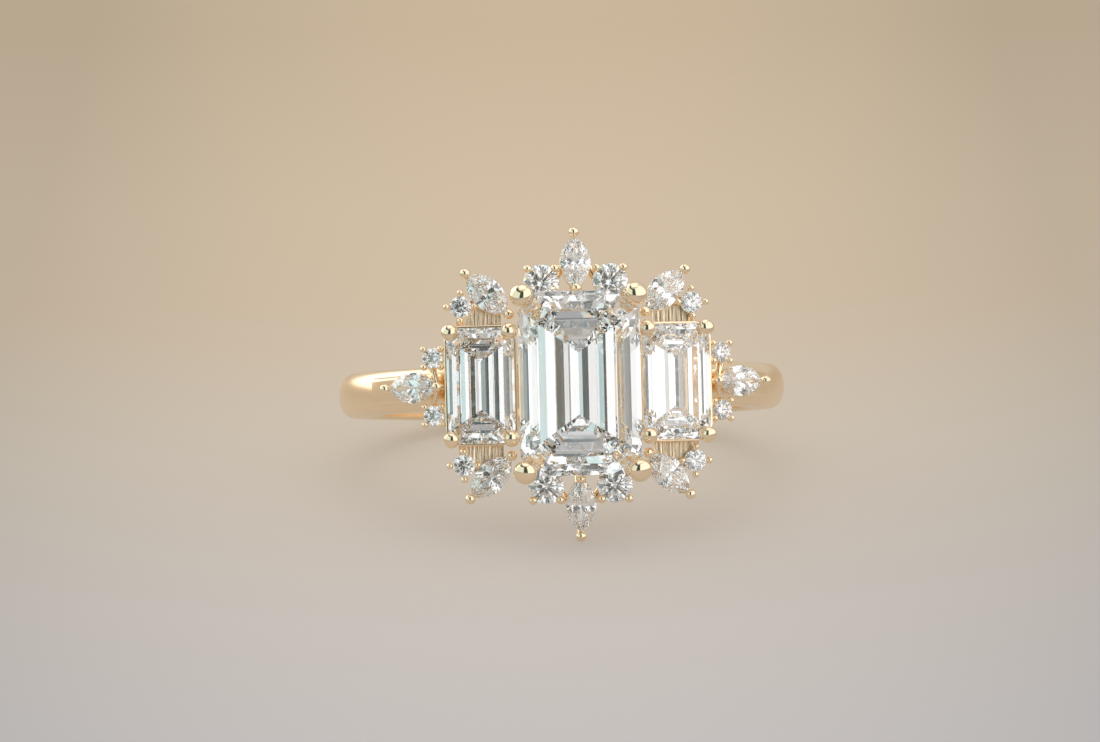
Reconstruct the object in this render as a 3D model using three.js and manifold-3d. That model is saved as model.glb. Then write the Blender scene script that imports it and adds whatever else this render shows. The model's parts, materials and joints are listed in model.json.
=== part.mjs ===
// Three-stone engagement ring: an emerald-cut centre stone between two smaller emerald cuts, with
// eight small clusters of marquise and round brilliants around them. Millimetres, +Z up.
//
// The ring is designed upright in its own frame: the finger hole's centre is the origin, X runs
// across the head, Y is the axis of the finger and Z points out of the head. It is then laid down
// on a surface, on the bead at the head's lower tip and on the back of the shank.
import * as THREE from "three";
import { mergeVertices } from "three/addons/utils/BufferGeometryUtils.js";
import Module from "manifold-3d";

// ---------------------------------------------------------------- driving dimensions
const finger = { diameter: 17.3 };
const shank = { wall: 1.7, width: 2.0, dome: 0.6, seatWall: 0.65 };

// Gaps left at a soldered joint and between a stone and the metal that holds it.
const solder = 0.02;
const seat = 0.02;

// Stones. Depths are from the middle of the girdle; tilt leans a stone away from the centre. The keel
// gap is what a step-cut stone's keel clears the shank by.
const centreSize = { width: 5.5, length: 8.3, corner: 0.85, keelGap: 0.173, tilt: 0 };
const sideSize = { width: 3.05, length: 5.2, corner: 0.5, keelGap: 0.593, tilt: 6, gap: 0.145 };
const stepCut = {
  tableInset: 0.31, crown: 0.135, girdle: 0.028, shares: [0.255, 0.345, 0.4], angles: [51, 43, 36],
  crownSteps: [[0.27, 0.4], [0.6, 0.75]],
};
const brilliant = { table: 0.56, star: 0.79, lowerHalf: 0.22, crown: 0.15, girdle: 0.035, pavilion: 0.43 };

// Small stones. Each stands beyond the edge of its neighbour in the head, or beside its own marquise,
// and below the large stone's girdle; a bead stands this far past a marquise's points, or off a round.
const topMarquiseSize = {
  length: 2.5, width: 1.38, beyond: 1.34, below: 1.2, tilt: 18, outerReach: 0.18, innerReach: 0.02,
};
const topRoundSize = { diameter: 1.62, apart: 0.05, beyond: 0.45, below: 1.1, tilt: 4, beadReach: 0.06 };
const cornerMarquiseSize = {
  length: 2.5, width: 1.4, beyond: [1.27, 1.53], below: 0.4, tilt: 10, outerReach: 0.11, innerReach: 0.12,
};
const cornerRoundSize = { diameter: 1.0, beside: [1.2, -0.56], below: 0.55, tilt: 12, beadReach: 0.14 };
const endMarquiseSize = {
  length: 2.5, width: 1.4, beyond: 1.485, below: 1.15, tilt: 35, outerReach: 0.2, innerReach: 0.08,
};
const endRoundSize = { diameter: 0.95, apart: 0.125, beyond: 0.575, below: 0.75, tilt: 18, beadReach: 0.09 };

// Claws, beads and collets.
const centreClaw = { wire: 0.72, ball: 1.08, reach: 0.39, lift: 0.44 };
const sideClaw = { wire: 0.5, ball: 0.74, reach: 0.13, lift: 0.27 };
const tipBead = { diameter: 0.47, lift: 0.06 };
const roundBead = { large: 0.39, small: 0.31 };
const collet = { rim: 0, seat: 0.2, height: 0.75, taper: 0.14, drop: 0.11 };
const beadFoot = { inward: 0.25, share: 0.75, lift: 0.08 };

// Rails of the baskets: each is a cut-corner frame round a stone's pavilion.
const rail = { clearance: 0.09, thickness: 0.34, height: 0.34 };
const centreRail = { upper: 1.3, footGap: 0.06 };
const sideRail = { upper: 0.06, rim: 0.11, footGap: 0.05 };
const shoulder = { width: 1.3, thickness: 0.6, foot: 29 };
const web = { thickness: 0.3, drop: 0.42, tuck: 0.2, margin: 0.1 };

// Radii of the bars inside the clusters, and how far under a girdle they run.
const link = { rail: 0.17, between: 0.2, stay: 0.24, inner: 0.17, rim: 0.15, drop: 0.45, sink: 0.19 };

// Derived sizes that several pieces share.
const holeRadius = finger.diameter / 2;
const outerRadius = holeRadius + shank.wall;
const seatHeight = holeRadius + shank.seatWall;
const degrees = Math.PI / 180;

// Emerald cut: the insets and the depths of its three pavilion steps, and its girdle's and crown's heights.
function emeraldDepths(stone) {
  const insets = stepCut.shares.map((share) => (share * stone.width) / 2);
  const depths = insets.map((inset, i) => inset * Math.tan(stepCut.angles[i] * degrees));
  return { insets, depths, girdle: (stepCut.girdle * stone.width) / 2, crown: stepCut.crown * stone.width };
}

// Adds the height at which a step-cut stone's keel clears the place that its basket stands on.
function standing(size, floor) {
  const { depths, girdle } = emeraldDepths(size);
  return { ...size, height: floor + size.keelGap + girdle + depths[0] + depths[1] + depths[2] };
}

// A side basket stands on the shank's level top, or lower down where a wide head takes it past that.
const sideX = centreSize.width / 2 + sideSize.gap + sideSize.width / 2;
const sideEdge = sideX + sideSize.width / 2;
const sideFloor = Math.min(seatHeight, Math.sqrt(outerRadius ** 2 - (sideX - sideSize.width * 0.1) ** 2));
const centre = standing(centreSize, seatHeight);
const side = standing(sideSize, sideFloor);

// Places the small stones by their neighbours' edges.
const below = (size, neighbour, x, y) => ({ ...size, x, y, height: neighbour.height - size.below });
const topMarquise = below(topMarquiseSize, centre, 0, centre.length / 2 + topMarquiseSize.beyond);
const topRound = below(
  topRoundSize, centre,
  topMarquise.width / 2 + topRoundSize.diameter / 2 + topRoundSize.apart, centre.length / 2 + topRoundSize.beyond,
);
const cornerMarquise = below(
  cornerMarquiseSize, side,
  centre.width / 2 + cornerMarquiseSize.beyond[0], side.length / 2 + cornerMarquiseSize.beyond[1],
);
const cornerRound = below(
  cornerRoundSize, side,
  cornerMarquise.x + cornerRoundSize.beside[0], cornerMarquise.y + cornerRoundSize.beside[1],
);
const endMarquise = below(endMarquiseSize, side, sideEdge + endMarquiseSize.beyond, 0);
const endRound = below(
  endRoundSize, side,
  sideEdge + endRoundSize.beyond, endMarquise.width / 2 + endRoundSize.diameter / 2 + endRoundSize.apart,
);

// Depths of the lower rails under the girdles: they stand just clear of the shank.
const centreLower = centre.height - seatHeight - rail.height - centreRail.footGap;
const sideLower = side.height - sideFloor - rail.height - sideRail.footGap;

// ---------------------------------------------------------------- solids
const wasm = await Module();
wasm.setup();

// A closed three.js geometry as a solid, after an optional placing matrix.
function solid(geometry, place) {
  const bare = new THREE.BufferGeometry().setAttribute("position", geometry.getAttribute("position"));
  if (geometry.index) bare.setIndex(geometry.index);
  const moved = place ? bare.clone().applyMatrix4(place) : bare;
  const merged = mergeVertices(moved, 1e-4);
  return new wasm.Manifold(
    new wasm.Mesh({
      numProp: 3,
      vertProperties: new Float32Array(merged.attributes.position.array),
      triVerts: new Uint32Array(merged.index.array),
    }),
  );
}

const join = (first, ...others) => others.reduce((all, one) => all.add(one), first);
const cut = (first, ...others) => others.reduce((all, one) => all.subtract(one), first);

function geometryOf(made) {
  const mesh = made.getMesh();
  const geometry = new THREE.BufferGeometry();
  const points = new Float32Array(mesh.numVert * 3);
  for (let v = 0; v < mesh.numVert; v += 1) {
    for (let axis = 0; axis < 3; axis += 1) {
      points[v * 3 + axis] = mesh.vertProperties[v * mesh.numProp + axis];
    }
  }
  geometry.setAttribute("position", new THREE.BufferAttribute(points, 3));
  geometry.setIndex(new THREE.BufferAttribute(new Uint32Array(mesh.triVerts), 1));
  geometry.computeVertexNormals();
  return geometry;
}

// A closed skin through rings of points that all run counter-clockwise seen from +Z, lowest first.
function loft(rings) {
  const count = rings[0].length;
  const points = rings.flat();
  const faces = [];
  for (let level = 0; level + 1 < rings.length; level += 1) {
    for (let i = 0; i < count; i += 1) {
      const a = level * count + i;
      const b = level * count + ((i + 1) % count);
      faces.push(a, b, b + count, a, b + count, a + count);
    }
  }
  const top = (rings.length - 1) * count;
  for (let i = 1; i + 1 < count; i += 1) {
    faces.push(0, i + 1, i);
    faces.push(top, top + i, top + i + 1);
  }
  return skin(points, faces);
}

// A geometry from points and triangles; triangles that closed up to nothing are left out.
function skin(points, faces) {
  const geometry = new THREE.BufferGeometry().setFromPoints(points);
  const kept = [];
  for (let f = 0; f < faces.length; f += 3) {
    const [a, b, c] = [faces[f], faces[f + 1], faces[f + 2]].map((index) => points[index]);
    if (a.distanceTo(b) > 1e-6 && b.distanceTo(c) > 1e-6 && c.distanceTo(a) > 1e-6) {
      kept.push(faces[f], faces[f + 1], faces[f + 2]);
    }
  }
  geometry.setIndex(kept);
  return geometry;
}

// A round bar between two points, and a ball.
function bar(from, to, radius, endRadius = radius, sides = 8) {
  const along = new THREE.Vector3().subVectors(to, from);
  const turn = new THREE.Quaternion().setFromUnitVectors(new THREE.Vector3(0, 1, 0), along.clone().normalize());
  const middle = new THREE.Vector3().addVectors(from, to).multiplyScalar(0.5);
  const place = new THREE.Matrix4().compose(middle, turn, new THREE.Vector3(1, 1, 1));
  return solid(new THREE.CylinderGeometry(endRadius, radius, along.length(), sides), place);
}

// A post that swells into a bead, turned about the line from its foot to the bead's middle.
function beadedPost(from, to, radius, sides = 6) {
  const along = new THREE.Vector3().subVectors(to, from);
  const length = along.length();
  const profile = [
    [0, 0], [0.64, 0], [0.8, length - 0.75 * radius], [1, length], [0.72, length + 0.7 * radius],
    [0, length + radius],
  ].map(([share, y], i) => new THREE.Vector2(i === 0 || i === 5 ? 0 : share * radius, y));
  const turn = new THREE.Quaternion().setFromUnitVectors(new THREE.Vector3(0, 1, 0), along.normalize());
  const place = new THREE.Matrix4().compose(from, turn, new THREE.Vector3(1, 1, 1));
  return solid(new THREE.LatheGeometry(profile, sides), place);
}

function ball(at, radius, sides = 8) {
  const place = new THREE.Matrix4().makeTranslation(at.x, at.y, at.z);
  return solid(new THREE.SphereGeometry(radius, sides, sides / 2 + 1), place);
}

const point = (x, y, z) => new THREE.Vector3(x, y, z);

// ---------------------------------------------------------------- outlines, grown or shrunk by an offset
function cutCornerOutline(width, length, corner, grow, z) {
  const x = width / 2 + grow;
  const y = length / 2 + grow;
  const c = Math.max(corner + (2 - Math.SQRT2) * grow, 0.05);
  return [
    point(x, y - c, z), point(x - c, y, z), point(c - x, y, z), point(-x, y - c, z),
    point(-x, c - y, z), point(c - x, -y, z), point(x - c, -y, z), point(x, c - y, z),
  ];
}

function roundOutline(diameter, grow, z, count = 16) {
  return Array.from({ length: count }, (_, i) => {
    const turn = (2 * Math.PI * i) / count;
    const radius = diameter / 2 + grow;
    return point(radius * Math.cos(turn), radius * Math.sin(turn), z);
  });
}

// Two equal arcs that meet in points on X.
function marquiseOutline(length, width, grow, z, count = 16) {
  const arc = (length * length + width * width) / (4 * width);
  const inset = arc - width / 2;
  const radius = arc + grow;
  const half = Math.acos(inset / radius);
  return Array.from({ length: count }, (_, i) => {
    const upper = i < count / 2;
    const step = upper ? i : i - count / 2;
    const angle = half - (step * 2 * half) / (count / 2);
    const x = radius * Math.sin(angle) * (upper ? 1 : -1);
    const y = (radius * Math.cos(angle) - inset) * (upper ? 1 : -1);
    return point(x, y, z);
  });
}

// ---------------------------------------------------------------- stones, each about its own girdle
function emeraldRing(stone, inset, z) {
  const corner = stone.corner * (1 - (2 * inset) / stone.width);
  const x = stone.width / 2 - inset;
  const y = stone.length / 2 - inset;
  return [
    point(x, y - corner, z), point(x - corner, y, z), point(corner - x, y, z), point(-x, y - corner, z),
    point(-x, corner - y, z), point(corner - x, -y, z), point(x - corner, -y, z), point(x, corner - y, z),
  ];
}

// Emerald cut: three steps above the girdle and three below, down to a keel.
function emeraldCut(stone) {
  const { insets, depths, girdle, crown } = emeraldDepths(stone);
  const table = stepCut.tableInset * (stone.width / 2);
  const [first, second] = [insets[0], insets[0] + insets[1]];
  return loft([
    emeraldRing(stone, stone.width / 2, -girdle - depths[0] - depths[1] - depths[2]),
    emeraldRing(stone, second, -girdle - depths[0] - depths[1]),
    emeraldRing(stone, first, -girdle - depths[0]),
    emeraldRing(stone, 0, -girdle),
    emeraldRing(stone, 0, girdle),
    ...stepCut.crownSteps.map(([inset, rise]) => emeraldRing(stone, table * inset, girdle + crown * rise)),
    emeraldRing(stone, table, girdle + crown),
  ]);
}

// Height of the stars' outer corners over the girdle, which keeps the kites flat on a round.
const facing = Math.cos(Math.PI / 8);
const starRise = (width) => (brilliant.crown * width * (1 - brilliant.star * facing)) / (1 - brilliant.table);

// Brilliant: table, eight stars, eight kites and sixteen upper halves over sixteen lower halves and
// eight mains, on a round or a marquise outline of sixteen points.
function brilliantCut(outline, width) {
  const girdle = (brilliant.girdle * width) / 2;
  const crown = brilliant.crown * width;
  const pavilion = brilliant.pavilion * width;
  const at = (base, share, z) => point(base.x * share, base.y * share, z);
  const lowerDepth = pavilion * (1 - brilliant.lowerHalf * facing);
  const points = [];
  const add = (p) => points.push(p) - 1;
  const upper = outline.map((p) => add(at(p, 1, girdle)));
  const lower = outline.map((p) => add(at(p, 1, -girdle)));
  const even = [0, 1, 2, 3, 4, 5, 6, 7];
  const table = even.map((k) => add(at(outline[2 * k], brilliant.table, girdle + crown)));
  const star = even.map((k) => add(at(outline[2 * k + 1], brilliant.star, girdle + starRise(width))));
  const half = even.map((k) => add(at(outline[2 * k + 1], brilliant.lowerHalf, -girdle - lowerDepth)));
  const culet = add(point(0, 0, -girdle - pavilion));
  const faces = [];
  for (let i = 0; i < 16; i += 1) {
    const next = (i + 1) % 16;
    faces.push(lower[i], lower[next], upper[next], lower[i], upper[next], upper[i]);
  }
  for (const k of even) {
    const [here, between, next] = [2 * k, 2 * k + 1, (2 * k + 2) % 16];
    const after = (k + 1) % 8;
    const before = (k + 7) % 8;
    faces.push(upper[here], upper[between], star[k], upper[between], upper[next], star[k]);
    faces.push(table[k], star[k], table[after]);
    faces.push(table[k], upper[here], star[k], table[k], star[before], upper[here]);
    faces.push(lower[between], lower[here], half[k], lower[next], lower[between], half[k]);
    faces.push(culet, half[k], lower[here], culet, lower[here], half[before]);
    if (k > 0 && k < 7) faces.push(table[0], table[k], table[k + 1]);
  }
  return skin(points, faces);
}

const marquiseCut = (stone) => brilliantCut(marquiseOutline(stone.length, stone.width, 0, 0), stone.width);
const roundCut = (stone) => brilliantCut(roundOutline(stone.diameter, 0, 0), stone.diameter);

// Places a stone: its girdle plane leans by tilt towards an azimuth, and its length points along another.
function placing(stone, leanAzimuth, lengthAzimuth = leanAzimuth) {
  return new THREE.Matrix4()
    .makeTranslation(stone.x, stone.y, stone.height)
    .multiply(new THREE.Matrix4().makeRotationZ(leanAzimuth * degrees))
    .multiply(new THREE.Matrix4().makeRotationY(stone.tilt * degrees))
    .multiply(new THREE.Matrix4().makeRotationZ((lengthAzimuth - leanAzimuth) * degrees));
}

// The space that a stone takes in the metal round it.
function bearing(geometry, place) {
  geometry.computeBoundingBox();
  const size = geometry.boundingBox.getSize(new THREE.Vector3());
  const scale = new THREE.Matrix4().makeScale(
    1 + (2 * seat) / size.x,
    1 + (2 * seat) / size.y,
    1 + (2 * seat) / size.z,
  );
  return solid(geometry, place.clone().multiply(scale));
}

const placed = {
  centre: placing({ x: 0, y: 0, height: centre.height, tilt: centre.tilt }, 0),
  side: placing({ x: sideX, y: 0, height: side.height, tilt: side.tilt }, 0),
  topMarquise: placing(topMarquise, 90),
  topRound: placing(topRound, 90),
  topRoundLeft: placing({ ...topRound, x: -topRound.x }, 90),
  cornerMarquise: placing(cornerMarquise, 45),
  cornerRound: placing(cornerRound, 35),
  endMarquise: placing(endMarquise, 0),
  endRound: placing(endRound, 0),
  endRoundLower: placing({ ...endRound, y: -endRound.y }, 0),
};

const cuts = {
  centre: emeraldCut(centre),
  side: emeraldCut(side),
  topMarquise: marquiseCut(topMarquise),
  topRound: roundCut(topRound),
  cornerMarquise: marquiseCut(cornerMarquise),
  cornerRound: roundCut(cornerRound),
  endMarquise: marquiseCut(endMarquise),
  endRound: roundCut(endRound),
};

const centreBearing = bearing(cuts.centre, placed.centre);
const sideBearing = bearing(cuts.side, placed.side);
const endMarquiseBearing = bearing(cuts.endMarquise, placed.endMarquise);

// ---------------------------------------------------------------- shank
// A hoop with a flat inside, flat sides and a domed outside, levelled under the head for the baskets.
function shankSolid(grow) {
  const half = shank.width / 2 + grow;
  const edge = outerRadius - shank.dome;
  const steps = 6;
  const profile = [new THREE.Vector2(holeRadius - grow, -half)];
  for (let i = 0; i <= steps; i += 1) {
    const angle = -Math.PI / 2 + (Math.PI * i) / steps;
    profile.push(new THREE.Vector2(edge + (shank.dome + grow) * Math.cos(angle), half * Math.sin(angle)));
  }
  profile.push(new THREE.Vector2(holeRadius - grow, half), new THREE.Vector2(holeRadius - grow, -half));
  const hoop = solid(new THREE.LatheGeometry(profile, 64));
  const above = new THREE.BoxGeometry(4 * outerRadius, 4 * half, outerRadius);
  const level = new THREE.Matrix4().makeTranslation(0, 0, seatHeight + grow + outerRadius / 2);
  return cut(hoop, solid(above, level));
}

// ---------------------------------------------------------------- centre basket
// A frame of four straights and four cut corners, between two heights in a stone's own frame.
function frame(stone, inner, thickness, low, high, place, grow = 0) {
  const ring = (offset, z) => cutCornerOutline(stone.width, stone.length, stone.corner, offset, z);
  const outside = loft([ring(inner + thickness + grow, low - grow), ring(inner + thickness + grow, high + grow)]);
  const inside = loft([ring(inner - grow, low - 1), ring(inner - grow, high + 1)]);
  return cut(solid(outside, place), solid(inside, place));
}

// How far a step-cut stone's pavilion has drawn in at a depth under its girdle.
function pavilionInset(stone, depth) {
  const { insets, depths, girdle } = emeraldDepths(stone);
  let inset = 0;
  let left = Math.max(depth - girdle, 0);
  insets.forEach((step, i) => {
    const share = Math.min(left / depths[i], 1);
    inset += step * share;
    left -= depths[i] * share;
  });
  return inset;
}

function railFrame(stone, depth, place, grow = 0) {
  const inner = rail.clearance - pavilionInset(stone, depth);
  return frame(stone, inner, rail.thickness, -depth - rail.height, -depth, place, grow);
}

// A claw stands outside the rails' corners and ends in a ball over the stone's cut corner.
function clawLine(stone, claw, lowDepth) {
  const { girdle } = emeraldDepths(stone);
  const corner = point((stone.width - stone.corner) / 2, (stone.length - stone.corner) / 2, girdle);
  const head = corner.clone().add(point(claw.reach * Math.SQRT1_2, claw.reach * Math.SQRT1_2, claw.lift));
  const drawn = rail.clearance + rail.thickness - pavilionInset(stone, lowDepth);
  const foot = point(
    stone.width / 2 + drawn - stone.corner / 4,
    stone.length / 2 + drawn - stone.corner / 4,
    -lowDepth - rail.height,
  );
  return { foot, head };
}

function clawSolid(stone, claw, lowDepth, place, sx, sy, grow = 0) {
  const { foot, head } = clawLine(stone, claw, lowDepth);
  const mirror = (p) => point(p.x * sx, p.y * sy, p.z).applyMatrix4(place);
  const wire = bar(mirror(foot), mirror(head), claw.wire / 2 + grow);
  return join(wire, ball(mirror(head), claw.ball / 2 + grow, claw.ball > 1 ? 10 : 8));
}

const hoop = shankSolid(0);
const hoopSpace = shankSolid(solder);
const signs = [[1, 1], [-1, 1], [-1, -1], [1, -1]];

const centreClaws = signs.map(([sx, sy]) => clawSolid(centre, centreClaw, centreLower, placed.centre, sx, sy));
const centreClawSpace = join(
  ...signs.map(([sx, sy]) => clawSolid(centre, centreClaw, centreLower, placed.centre, sx, sy, solder)),
);
const sideClaws = signs.map(([sx, sy]) => clawSolid(side, sideClaw, sideLower, placed.side, sx, sy));
const sideClawSpace = join(
  ...signs.map(([sx, sy]) => clawSolid(side, sideClaw, sideLower, placed.side, sx, sy, solder)),
);

const lowerCentreRail = railFrame(centre, centreLower, placed.centre);
const upperCentreRail = railFrame(centre, centreRail.upper, placed.centre);
const upperCentreRailSpace = railFrame(centre, centreRail.upper, placed.centre, solder);
const lowerCentreRailSpace = railFrame(centre, centreLower, placed.centre, solder);

const sideRim = (grow) =>
  frame(
    side, sideRail.rim - rail.thickness, rail.thickness, -sideRail.upper - rail.height, -sideRail.upper,
    placed.side, grow,
  );
const upperSideRail = sideRim(0);
const upperSideRailSpace = sideRim(solder);
const lowerSideRail = railFrame(side, sideLower, placed.side);
const lowerSideRailSpace = railFrame(side, sideLower, placed.side, solder);

// ---------------------------------------------------------------- shoulders
// An arm that leaves the shank at its shoulder and rises under the end cluster to the side basket.
function shoulderSolid(grow) {
  const foot = shoulder.foot * degrees;
  const under = point(0, 0, -collet.height).applyMatrix4(placed.endMarquise);
  const basket = point(side.width / 2, 0, -sideLower).applyMatrix4(placed.side);
  const low = outerRadius - shank.dome / 2;
  const high = Math.hypot(under.x, under.z) - shoulder.thickness / 2;
  const end = Math.atan2(basket.z, basket.x);
  const ease = (t) => t * t * (3 - 2 * t);
  const route = new THREE.CatmullRomCurve3(
    [0, 0.2, 0.4, 0.6, 0.8, 1].map((t) => {
      const angle = foot + (end - foot) * t;
      const radius = low + (high - low) * ease(t);
      return point(radius * Math.cos(angle), 0, radius * Math.sin(angle));
    }),
  );
  const x = shoulder.thickness / 2 + grow;
  const y = shoulder.width / 2 + grow;
  const c = shoulder.thickness / 4;
  const section = new THREE.Shape([
    new THREE.Vector2(x, y - c), new THREE.Vector2(x - c, y), new THREE.Vector2(c - x, y),
    new THREE.Vector2(-x, y - c), new THREE.Vector2(-x, c - y), new THREE.Vector2(c - x, -y),
    new THREE.Vector2(x - c, -y), new THREE.Vector2(x, c - y),
  ]);
  return solid(new THREE.ExtrudeGeometry(section, { extrudePath: route, steps: 14, bevelEnabled: false }));
}

// ---------------------------------------------------------------- clusters
// A collet: a tapered tube just outside a small stone's girdle. The pocket through it seats the
// stone's girdle and the edge of its crown, and opens the collet underneath.
function colletSolid(outline, width, place) {
  const top = -collet.drop;
  const bottom = top - collet.height;
  const girdle = (brilliant.girdle * width) / 2 + seat;
  const ledge = girdle + 2 * brilliant.pavilion * (collet.seat + seat);
  const crownEdge = outline(seat, 0).map((p) =>
    point(p.x * brilliant.star, p.y * brilliant.star, girdle + starRise(width)));
  const outside = loft([outline(collet.rim - collet.taper, bottom), outline(collet.rim, top)]);
  const pocket = loft([
    outline(-collet.seat - collet.taper, bottom - 0.1), outline(-collet.seat, -ledge),
    outline(seat, -girdle), outline(seat, girdle), crownEdge,
  ]);
  return [solid(outside, place), solid(pocket, place)];
}

// A bead on a post, from under the collet's rim to just over the stone's edge.
function beadSolid(place, x, y, diameter, lift = beadFoot.lift) {
  const inward = 1 - beadFoot.inward / Math.hypot(x, y);
  const low = point(x * inward, y * inward, -collet.drop - beadFoot.share * collet.height).applyMatrix4(place);
  const head = point(x, y, lift).applyMatrix4(place);
  return beadedPost(low, head, diameter / 2);
}

const marquiseCollet = (stone, place) =>
  colletSolid((grow, z) => marquiseOutline(stone.length, stone.width, grow, z), stone.width, place);
const roundCollet = (stone, place) =>
  colletSolid((grow, z) => roundOutline(stone.diameter, grow, z), stone.diameter, place);

// Four beads on a round stone, the first at a given azimuth from its own X.
function roundBeads(stone, place, first, diameter) {
  const radius = stone.diameter / 2 + stone.beadReach;
  return [0, 1, 2, 3].map((i) => {
    const turn = (first + 90 * i) * degrees;
    return beadSolid(place, radius * Math.cos(turn), radius * Math.sin(turn), diameter);
  });
}

// A bead at each point of a marquise.
function tipBeads(stone, place) {
  const outer = stone.length / 2 + stone.outerReach;
  const inner = stone.length / 2 + stone.innerReach;
  return [outer, -inner].map((x) => beadSolid(place, x, 0, tipBead.diameter, tipBead.lift));
}

// Joins collets, beads and links, then opens each collet and seats each stone.
function settingSolid(collets, metal, neighbours) {
  const walls = collets.map(([outside]) => outside);
  const pockets = collets.map(([, pocket]) => pocket);
  return cut(join(...walls, ...metal), ...pockets, ...neighbours);
}

// The cluster at the head's top: a marquise between two rounds, tied to the centre basket.
function topSetting() {
  const collets = [
    marquiseCollet(topMarquise, placed.topMarquise),
    roundCollet(topRound, placed.topRound),
    roundCollet(topRound, placed.topRoundLeft),
  ];
  const railMiddle = (depth) => centre.length / 2 + rail.clearance + rail.thickness / 2 - pavilionInset(centre, depth);
  const railLevel = centre.height - centreRail.upper - rail.height / 2;
  const linkLevel = topRound.height - collet.drop - link.drop;
  const edge = topRound.diameter / 2 - link.sink;
  const links = [1, -1].flatMap((sign) => [
    bar(
      point(sign * (topRound.x - edge / 2), railMiddle(centreRail.upper), railLevel),
      point(sign * (topRound.x - edge / 3), topRound.y - edge, railLevel), link.rail,
    ),
    bar(
      point((sign * (topMarquise.width - link.sink)) / 2, topMarquise.y - link.between, linkLevel),
      point(sign * (topRound.x - edge), topRound.y + link.between, linkLevel), link.between,
    ),
  ]);
  // The stay runs from the lower rail's outer face to the underside of the marquise's collet.
  const foot = point(0, railMiddle(centreLower) + rail.thickness / 4, centre.height - centreLower - rail.height / 2);
  const under = point(-topMarquise.length * 0.3, 0, -collet.height).applyMatrix4(placed.topMarquise);
  const stay = bar(foot, under, link.stay);
  const beads = [
    ...tipBeads(topMarquise, placed.topMarquise),
    ...roundBeads(topRound, placed.topRound, 45, roundBead.large),
    ...roundBeads(topRound, placed.topRoundLeft, 45, roundBead.large),
  ];
  const neighbours = [centreClawSpace, upperCentreRailSpace, lowerCentreRailSpace];
  return settingSolid(collets, [...beads, ...links, stay], neighbours);
}

// A corner cluster: a marquise that points out and a round, on a plate against the side basket.
function cornerSetting() {
  const collets = [
    marquiseCollet(cornerMarquise, placed.cornerMarquise),
    roundCollet(cornerRound, placed.cornerRound),
  ];
  const edge = side.length / 2 + sideRail.rim;
  const level = cornerRound.height - web.drop;
  const outline = [
    point(sideX - side.width / 3, edge - web.tuck, 0), point(sideX + side.width / 3, edge - web.tuck, 0),
    point(cornerRound.x + web.margin, cornerRound.y, 0), point(cornerMarquise.x + web.margin, cornerMarquise.y, 0),
    point(cornerMarquise.x - cornerMarquise.length / 4, cornerMarquise.y - cornerMarquise.length / 4, 0),
  ];
  const plate = loft([
    outline.map((p) => point(p.x, p.y, level - web.thickness)),
    outline.map((p) => point(p.x, p.y, level)),
  ]);
  const beads = [
    ...tipBeads(cornerMarquise, placed.cornerMarquise),
    ...roundBeads(cornerRound, placed.cornerRound, -35, roundBead.small),
  ];
  const neighbours = [centreClawSpace, sideClawSpace, upperSideRailSpace];
  return settingSolid(collets, [...beads, solid(plate)], neighbours);
}

// An end cluster: a marquise that points out over the shoulder, between two rounds.
function endSetting(shoulderSpace) {
  const collets = [
    marquiseCollet(endMarquise, placed.endMarquise),
    roundCollet(endRound, placed.endRound),
    roundCollet(endRound, placed.endRoundLower),
  ];
  const inner = point(-endMarquise.length * 0.4, 0, -link.drop).applyMatrix4(placed.endMarquise);
  const level = endRound.height - link.drop;
  const wall = endRound.diameter / 2 - link.sink / 2;
  const links = [1, -1].flatMap((sign) => [
    bar(inner, point(endRound.x, sign * (endRound.y - wall), level), link.inner),
    bar(
      point(endRound.x - wall * 0.8, sign * (endRound.y - wall / 2), level),
      point(sideEdge, sign * (endRound.y - wall * 0.7), side.height - link.drop), link.rim,
    ),
  ]);
  const beads = [
    ...tipBeads(endMarquise, placed.endMarquise),
    ...roundBeads(endRound, placed.endRound, 45, roundBead.small),
    ...roundBeads(endRound, placed.endRoundLower, 45, roundBead.small),
  ];
  const neighbours = [sideClawSpace, upperSideRailSpace, shoulderSpace];
  return settingSolid(collets, [...beads, ...links], neighbours);
}

// ---------------------------------------------------------------- the assembly
const gold = new THREE.MeshStandardMaterial({ name: "yellow_gold", color: 0xe2bd88, roughness: 0.16, metalness: 1 });
const diamond = new THREE.MeshStandardMaterial({ name: "diamond", color: 0xf3f4f2, roughness: 0.02, metalness: 0 });

function piece(name, geometry, material, place) {
  const mesh = new THREE.Mesh(geometry, material);
  mesh.name = name;
  if (place) mesh.applyMatrix4(place);
  return mesh;
}
const metal = (name, made) => piece(name, geometryOf(made), gold);
const stone = (name, kind, place = placed[kind]) => piece(name, cuts[kind], diamond, place);

// A group that mirrors what is modelled at the right and at the top to the other sides.
function mirrored(sx, sy, ...meshes) {
  const group = new THREE.Group();
  group.scale.set(sx, sy, 1);
  group.add(...meshes);
  return group;
}

const shoulderArm = shoulderSolid(0);
const shoulderSpace = shoulderSolid(solder);
const solids = {
  centreUpper: cut(upperCentreRail, centreBearing, centreClawSpace),
  centreLower: cut(lowerCentreRail, centreBearing, centreClawSpace, hoopSpace),
  centreClaws: centreClaws.map((claw) => cut(claw, centreBearing, hoopSpace)),
  sideUpper: cut(upperSideRail, sideBearing, sideClawSpace, centreBearing),
  sideLower: cut(lowerSideRail, sideBearing, sideClawSpace, hoopSpace),
  sideClaws: sideClaws.map((claw) => cut(claw, sideBearing, hoopSpace, centreBearing, centreClawSpace)),
  shoulder: cut(shoulderArm, hoopSpace, sideClawSpace, lowerSideRailSpace, endMarquiseBearing),
  top: topSetting(),
  corner: cornerSetting(),
  end: endSetting(shoulderSpace),
};

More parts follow.
